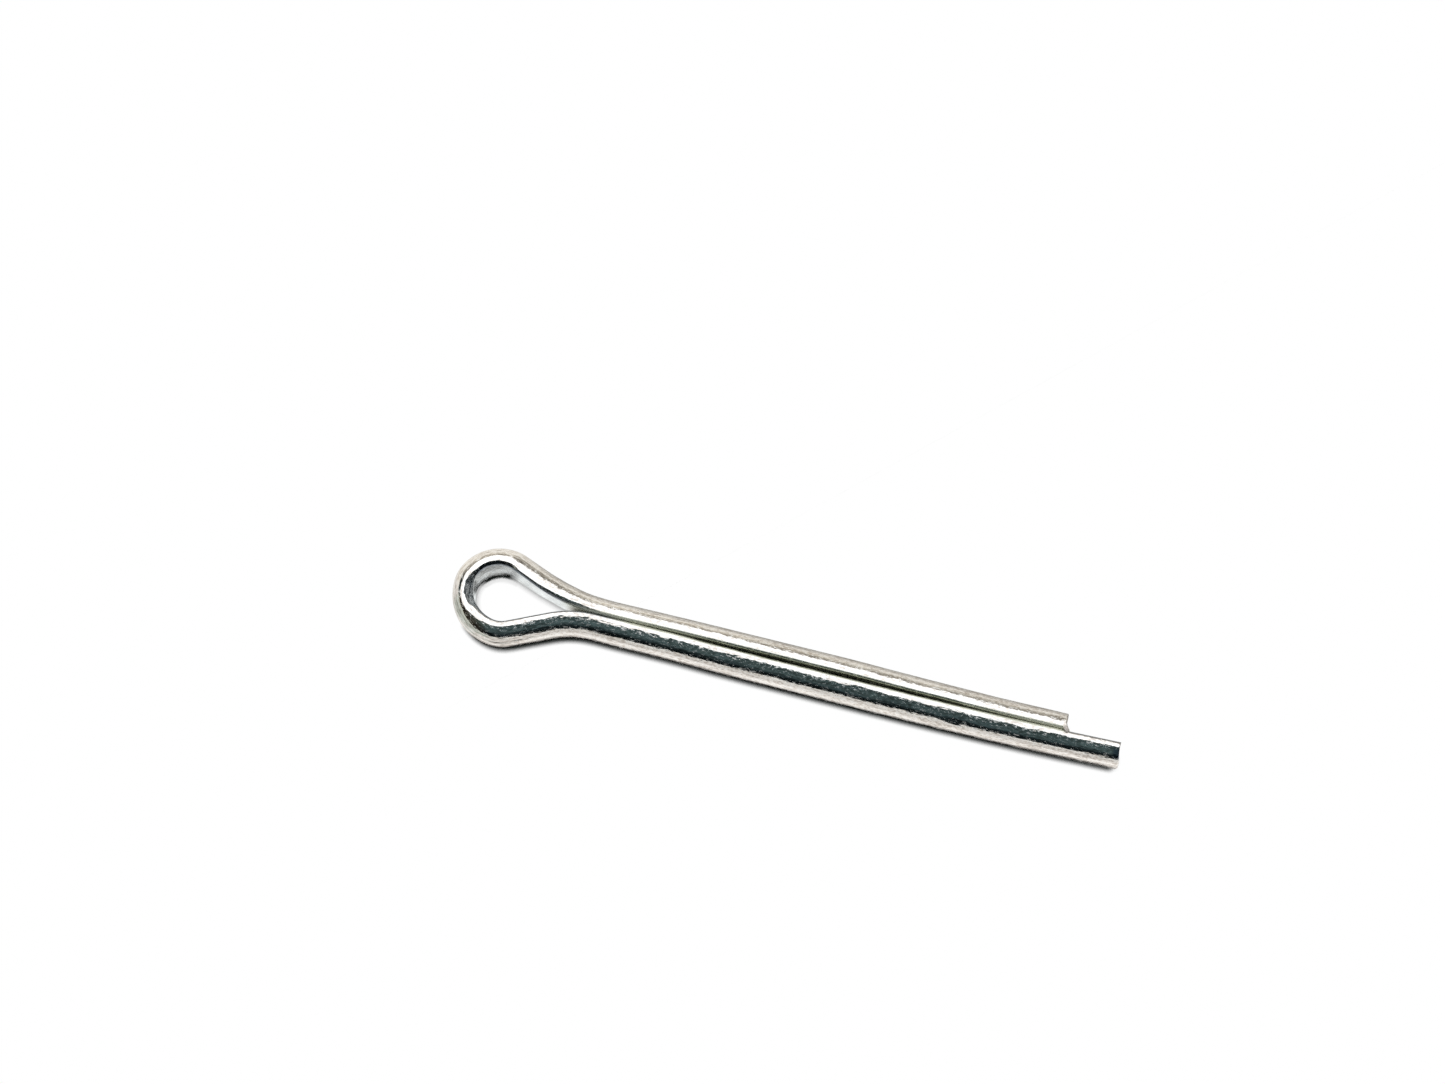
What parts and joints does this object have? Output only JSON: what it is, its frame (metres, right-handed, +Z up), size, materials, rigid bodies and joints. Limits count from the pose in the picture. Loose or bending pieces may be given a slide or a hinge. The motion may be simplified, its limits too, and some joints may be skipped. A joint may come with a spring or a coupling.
{
  "type": "cotter pin",
  "caption": "Cotter pin of folded half-round steel wire, with a teardrop eye and a longer and a shorter leg, that goes through a cross hole and is spread to lock a nut or a pin.",
  "frame": {"origin": "on the axis of the closed shank, where the eye's neck ends and the legs meet", "axes": "+X along the shank from the eye to the tips, +Y towards the short leg, +Z up from the surface the pin lies on"},
  "size_m": [0.0438, 0.0065, 0.0028],
  "materials": {
    "wire": "bright zinc-plated drawn wire"
  },
  "bodies": {
    "root": {"cotter_pin": "wire"}
  },
  "joints": []
}
